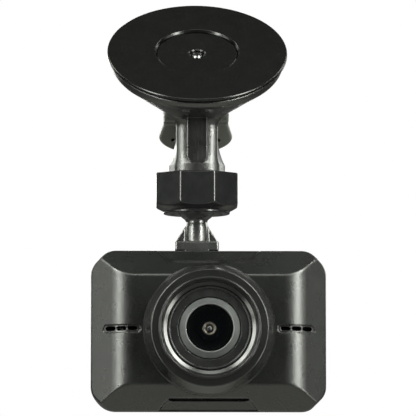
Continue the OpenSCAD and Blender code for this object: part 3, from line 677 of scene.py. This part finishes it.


# The edge values given to these finishes set a painted highlight that lightens their sharp edges.
finish = {
    "pad_rubber": moulded("pad rubber", (0.0012, 0.0013, 0.0011), 0.22, grain=0.5, bump=0.12,
                          level=0.3, vary=0.03),
    "housing_plastic": moulded("housing plastic", (0.006, 0.0062, 0.0062), 0.30, grain=0.5, bump=0.4,
                               edge_highlight=0.04, mottle=0.08, level=0.7),
    "post_plastic": moulded("post plastic", (0.03, 0.03, 0.03), 0.5, grain=0.4, bump=0.15),
    "lever_plastic": moulded("lever plastic", (0.046, 0.047, 0.042), 0.42, grain=0.4, edge_highlight=0.1),
    "nut_plastic": moulded("nut plastic", (0.006, 0.0063, 0.0065), 0.2, grain=0.4, edge_highlight=0.08,
                           mottle=0.08),
    "seat_plastic": moulded("seat plastic", (0.04, 0.04, 0.04), 0.5),
    "friction_rubber": moulded("friction rubber", (0.02, 0.02, 0.02), 0.8, grain=0.5),
    "stem_plastic": moulded("stem plastic", (0.012, 0.0123, 0.0123), 0.27, grain=0.5, bump=0.35,
                            edge_highlight=0.05, mottle=0.08, level=1.0),
    "shell_plastic": moulded("shell plastic", (0.0045, 0.0049, 0.0046), 0.28, grain=0.4, bump=0.32,
                             edge_highlight=0.03, mottle=0.06, vary=0.02),
    "bezel_plastic": moulded("bezel plastic", (0.0042, 0.0044, 0.0043), 0.22, grain=0.3, bump=0.12,
                             edge_highlight=0.03, mottle=0.06, level=0.44, vary=0.02),
    "trim_plastic": moulded("trim plastic", (0.005, 0.0052, 0.0052), 0.28, grain=0.3, bump=0.2),
    "screw_steel": metal("screw steel", (0.16, 0.16, 0.16), 0.32),
    # Dark anodised aluminium: the dyed layer over the metal looks like satin plastic
    "retainer_metal": moulded("retainer metal", (0.040, 0.042, 0.042), 0.38, grain=0.25, bump=0.5,
                              edge_highlight=0.1, level=0.8),
    "barrel_metal": metal("barrel metal", (0.003, 0.003, 0.003), 0.6),
    "holder_plastic": moulded("holder plastic", (0.01, 0.01, 0.01), 0.5),
    "chip_epoxy": moulded("chip epoxy", (0.012, 0.012, 0.012), 0.45, grain=0.2),
    "switch_metal": metal("switch metal", (0.6, 0.6, 0.6), 0.3, streak=(1, 0.1, 1)),
    "display_metal": metal("display metal", (0.2, 0.2, 0.21), 0.35, streak=(1, 1, 0.1)),
    "iris_metal": metal("iris metal", (0.26, 0.235, 0.20), 0.32),
    "lens_glass": glass("lens glass", (0.004, 0.005, 0.006), alpha=0.10),
    "eye_glass": moulded("eye glass", (0.004, 0.004, 0.004), 0.06, grain=1.0, bump=0.0, level=1.0,
                         vary=0.02),
    "inner_glass": glass("inner glass", (0.01, 0.008, 0.008), alpha=0.6),
}
slot_of = {s["node"]: s["material_slot"] for s in frame["record"]["subparts"]}
told = {m["slot"]: m for m in frame["record"]["materials"]}
for slot_name, told_slot in told.items():
    if slot_name in finish:
        continue
    colour = tuple(told_slot["base_color"][:3])
    if told_slot["class"] in ("brushed_steel", "aluminium"):
        finish[slot_name] = metal(slot_name.replace("_", " "), colour, 0.3, streak=(1, 0.15, 1))
    elif "glass" in told_slot["class"]:
        finish[slot_name] = glass(slot_name.replace("_", " "), tuple(0.1 * c for c in colour), alpha=0.6)
    else:
        rough = 0.12 if told_slot["class"] == "gloss_plastic" else 0.42
        finish[slot_name] = moulded(slot_name.replace("_", " "), colour, rough, grain=0.3, bump=0.2,
                                    vary=0.03)
for node_name, node_obj in frame["nodes"].items():
    node_obj.data.materials.clear()
    node_obj.data.materials.append(finish[slot_of[node_name]])

# ---------------------------------------------------------------- suction mount

turned_piece("pad_ring", [
    (13.5, -3.0, 0.1), (26.2, -3.0, 0.2), (26.6, -2.35, 0.3), (27.8, -2.05, 0.6), (29.5, -1.25, 0.4),
    (29.98, -0.9, 0.2), (29.98, -0.3, 0.3), (29.6, -0.02, 0.6), (14.05, -0.02, 0.35),
    (13.5, -0.75, 0.35)],
    pad_place, finish["pad_rubber"], "mount", ("suction_pad",), steps=240)
turned_piece("pad_middle", [
    (0.96, -2.98, 0.02), (13.3, -2.98, 0.2), (13.3, -0.92, 0.12), (13.0, -0.86, 0.2),
    (2.95, -0.9, 0.35), (2.45, -1.25, 0.2), (2.4, -2.0, 0.15), (0.96, -2.0, 0.05)],
    pad_place, finish["pad_rubber"], "pull_post", slot="pad_rubber", steps=192)

# A piece's last value is its cell size
for piece_name, field, node_name, body_name, step in (
        ("bell_and_neck", mount_housing, "mount_housing", "mount", 0.3),
        ("lever_paddle", lock_lever, "lock_lever", "lever", 0.22),
        ("nut_body", lock_nut, "lock_nut", "nut", 0.25),
        ("stem_and_ball", ball_stem, "ball_stem", "stem", 0.24),
        ("shell_front", front_shell, "front_shell", "camera", 0.33),
        ("shell_rear", rear_shell, "rear_shell", "camera", 0.4)):
    low, high = span(node_name)
    points, faces, normals = net(field, low, high, step)
    new_piece(piece_name, points, faces, normals, finish[slot_of[node_name]], body_name,
              (node_name,))

# ---------------------------------------------------------------- lens

# Heights in front of the parting plane: raised panel, bezel's front, trim plate, inner eye
PANEL = FRONT_DEPTH
BARREL = PANEL + 10.0
TRIM = BARREL - 3.4
EYE = TRIM - 2.6
BEZEL_R = 21.9

turned_piece("bezel_rings", [
    (17.9, 5.2, 0.1), (BEZEL_R, 5.2, 0.1), (BEZEL_R, PANEL + 0.75, 0.35),
    (BEZEL_R - 0.5, PANEL + 1.2, 0.3), (19.35, BARREL - 1.0, 0.55), (16.75, BARREL - 0.62, 0.2),
    (16.65, BARREL - 0.03, 0.3), (16.05, BARREL - 0.03, 0.28), (15.95, BARREL - 1.0, 0.1),
    (15.5, BARREL - 1.05, 0.14), (15.25, BARREL - 2.55, 0.15), (13.95, TRIM + 0.25, 0.12),
    (13.9, TRIM - 1.6, 0.1), (12.4, TRIM - 1.6, 0.1), (12.4, TRIM - 3.2, 0.1),
    (14.4, TRIM - 4.4, 0.2), (17.9, PANEL - 0.6, 0.2)],
    lens_place, finish["bezel_plastic"], "camera", ("lens_bezel",), steps=240)
turned_piece("trim_plate", [
    (10.2, TRIM - 1.5, 0.1), (13.8, TRIM - 1.5, 0.1), (13.8, TRIM - 0.1, 0.1),
    (13.78, TRIM + 0.75, 0.33), (13.1, TRIM + 0.75, 0.33), (13.0, TRIM, 0.1), (10.5, TRIM, 0.15),
    (10.2, TRIM - 0.25, 0.15)],
    lens_place, finish["trim_plastic"], "camera", ("lens_trim",), steps=200)
turned_piece("retaining_ring", [
    (7.74, TRIM - 1.0, 0.1), (9.2, TRIM - 1.0, 0.1), (9.95, TRIM - 0.6, 0.1),
    (9.95, TRIM - 0.15, 0.15), (8.05, TRIM + 1.68, 0.15), (7.74, TRIM + 1.6, 0.12)],
    lens_place, finish["retainer_metal"], "camera", ("lens_retainer",), steps=200)

turned_piece("front_glass", [
    (0.0, TRIM - 1.2), (7.6, TRIM - 1.2, 0.1), (7.6, TRIM + 0.65, 0.1), (6.4, TRIM + 0.84, 3.0),
    (4.0, TRIM + 1.16, 6.0), (1.8, TRIM + 1.34, 4.0), (0.0, TRIM + 1.38)],
    lens_place, finish["lens_glass"], "camera", ("front_lens",), closed=False, steps=128)
turned_piece("iris_ring", [
    (1.3, 7.6, 0.1), (3.5, 7.6, 0.1), (3.5, 8.2, 0.1), (2.38, 9.6, 0.5), (2.38, EYE - 0.5, 0.35),
    (2.1, EYE - 0.06, 0.2), (1.7, EYE - 0.05, 0.2), (1.3, EYE - 0.35, 0.1)],
    lens_place, finish["iris_metal"], "camera", ("middle_lens",), steps=96)
turned_piece("inner_eye", [
    (0.0, 7.7), (1.26, 7.7, 0.05), (1.26, EYE - 0.3, 0.1), (1.05, EYE + 0.12, 0.6),
    (0.55, EYE + 0.45, 0.8), (0.0, EYE + 0.56)],
    lens_place, finish["eye_glass"], "camera", slot="inner_glass", closed=False, steps=72)

# ---------------------------------------------------------------- rear

BACK = REAR_DEPTH
# Keys and window are turned with round corners, drawn out to these half widths and heights
WINDOW_SPREAD, KEY_SPREAD = (24.8, 18.55), (2.55, 1.1)


def rear_place(p):
    """First axis to -X and third to +Y, behind the parting plane."""
    return np.stack([-p[:, 0], p[:, 2], p[:, 1]], 1) + np.array([CAM_X, SPLIT_Y, CAM_Z])


turned_piece("window_pane", [
    (0.3, BACK - 1.15), (1.5, BACK - 1.15, 0.1), (1.5, BACK - 0.3, 0.1), (1.3, BACK - 0.15, 0.15),
    (0.3, BACK - 0.15)],
    rear_place, finish[slot_of["display_window"]], "camera", ("display_window",), closed=False,
    steps=48, spread=WINDOW_SPREAD, at=(-WINDOW_X, 0, 0))
for key_name, row in zip(("power_button", "menu_button", "up_button", "down_button",
                          "select_button"), BUTTON_ROWS):
    turned_piece(key_name.replace("button", "key"), [
        (0.4, BACK - 2.8), (1.7, BACK - 2.8, 0.1), (1.7, BACK - 2.05, 0.1), (1.2, BACK - 1.95, 0.1),
        (1.2, BACK + 0.3, 0.25), (0.9, BACK + 0.58, 0.3), (0.4, BACK + 0.5)],
        rear_place, finish[slot_of[key_name]], key_name, (key_name,), closed=False,
        steps=48, spread=KEY_SPREAD, at=(-BUTTON_X, row, 0))

# ---------------------------------------------------------------- studio

scene = bpy.context.scene
scene.view_settings.view_transform = "Standard"

# The photo's view: where it aims, its turn and rise, its distance in metres, and its scale
AIM = Vector((3.6, 0.0, -52.4)) * MM
VIEW_AZ, VIEW_EL, VIEW_FAR = math.radians(-1.6), math.radians(-5.5), 1.5
FRAME_PX, PX_PER_MM, SENSOR = 416, 3.0128, 36.0

back_way = Vector((math.sin(VIEW_AZ) * math.cos(VIEW_EL),
                   -math.cos(VIEW_AZ) * math.cos(VIEW_EL), math.sin(VIEW_EL)))
lens = bpy.data.cameras.new("photo camera")
lens.sensor_width = SENSOR
lens.lens = PX_PER_MM * VIEW_FAR / MM * SENSOR / FRAME_PX
lens.clip_start, lens.clip_end = 0.05, 60
eye = bpy.data.objects.new("photo camera", lens)
scene.collection.objects.link(eye)
eye.location = AIM + back_way * VIEW_FAR
eye.rotation_mode = "QUATERNION"
eye.rotation_quaternion = (-back_way).to_track_quat("-Z", "Y")
scene.camera = eye

SPREAD = math.radians(80)
LAMP_COLOUR = (0.975, 1.0, 0.925)


def softbox(name, place, size, power):
    """Area light at a place in metres, facing the object."""
    lamp = bpy.data.lights.new(name, "AREA")
    lamp.shape = "RECTANGLE"
    lamp.size, lamp.size_y = size
    lamp.energy = power
    lamp.color = LAMP_COLOUR
    lamp.spread = SPREAD
    obj = bpy.data.objects.new(name, lamp)
    scene.collection.objects.link(obj)
    obj.location = place
    obj.rotation_mode = "QUATERNION"
    obj.rotation_quaternion = (AIM - Vector(place)).to_track_quat("-Z", "Y")
    obj.visible_camera = False


def seen_and_felt(tree, seen, felt, surface):
    """The camera sees one shader, and every other ray meets the second."""
    path = tree.nodes.new("ShaderNodeLightPath")
    mixed = tree.nodes.new("ShaderNodeMixShader")
    tree.links.new(path.outputs["Is Camera Ray"], mixed.inputs[0])
    tree.links.new(felt.outputs[0], mixed.inputs[1])
    tree.links.new(seen.outputs[0], mixed.inputs[2])
    tree.links.new(mixed.outputs[0], surface)


softbox("left key", (-1.17, -1.09, 0.40), (0.34, 1.2), 6)
softbox("right key", (1.17, -1.09, 0.40), (0.34, 1.2), 8.5)
softbox("left high", (-0.9, -1.0, 1.0), (0.5, 0.5), 4.2)
softbox("right high", (0.9, -1.0, 1.0), (0.5, 0.5), 4.6)
softbox("left low", (-1.15, -0.95, -0.55), (0.5, 0.4), 1.4)
softbox("right low", (1.15, -0.95, -0.55), (0.5, 0.4), 2.6)
softbox("left side", (-1.52, -0.58, 0.2), (0.5, 1.2), 1.6)
softbox("right side", (1.52, -0.58, 0.2), (0.5, 1.2), 0.8)
softbox("top front", (0.0, -1.0, 1.15), (0.7, 0.4), 1.2)
softbox("top box", (0.0, 0.0, 1.5), (1.0, 0.6), 0.1)
softbox("top left", (-0.72, 0.25, 1.3), (0.25, 0.6), 1.2)
softbox("top right", (0.72, 0.25, 1.3), (0.25, 0.6), 1.2)
softbox("rear left", (-1.3, 1.1, 0.5), (0.8, 0.8), 2.5)
softbox("rear right", (1.3, 1.1, 0.5), (0.8, 0.8), 2.5)
softbox("rear fill", (-0.3, 1.6, 0.35), (1.0, 0.7), 2.5)

# White to the camera; reflections find it dim in front and brighter behind
world = bpy.data.worlds.new("studio")
world.use_nodes = True
scene.world = world
tree = world.node_tree
shown = tree.nodes["Background"]
shown.inputs["Color"].default_value = (1, 1, 1, 1)
shown.inputs["Strength"].default_value = 1.0
felt = tree.nodes.new("ShaderNodeBackground")
way = tree.nodes.new("ShaderNodeTexCoord")
split = tree.nodes.new("ShaderNodeSeparateXYZ")
tree.links.new(way.outputs["Generated"], split.inputs["Vector"])
backdrop = tree.nodes.new("ShaderNodeMapRange")
backdrop.interpolation_type = "SMOOTHSTEP"
backdrop.inputs["From Min"].default_value = 0.1
backdrop.inputs["From Max"].default_value = 0.85
backdrop.inputs["To Min"].default_value = 0.05
backdrop.inputs["To Max"].default_value = 0.3
tree.links.new(split.outputs["Y"], backdrop.inputs["Value"])
tree.links.new(backdrop.outputs["Result"], felt.inputs["Strength"])
seen_and_felt(tree, shown, felt, tree.nodes["World Output"].inputs["Surface"])

# Height and half width of the floor, in metres
FLOOR_Z, FLOOR_HALF = -0.75, 8.0
floor_mesh = bpy.data.meshes.new("floor")
floor_mesh.from_pydata([(-FLOOR_HALF, -FLOOR_HALF, FLOOR_Z), (FLOOR_HALF, -FLOOR_HALF, FLOOR_Z),
                        (FLOOR_HALF, FLOOR_HALF, FLOOR_Z), (-FLOOR_HALF, FLOOR_HALF, FLOOR_Z)],
                       [], [(0, 1, 2, 3)])
floor = bpy.data.objects.new("floor", floor_mesh)
scene.collection.objects.link(floor)
paper = moulded("floor paper", (0.42, 0.42, 0.395), 0.85, grain=1.5, bump=0.1, mottle=0.02)
tree = paper.node_tree
pale = tree.nodes.new("ShaderNodeEmission")
pale.inputs["Color"].default_value = (0.84, 0.84, 0.82, 1)
seen_and_felt(tree, pale, tree.nodes["Principled BSDF"],
              tree.nodes["Material Output"].inputs["Surface"])
floor_mesh.materials.append(paper)
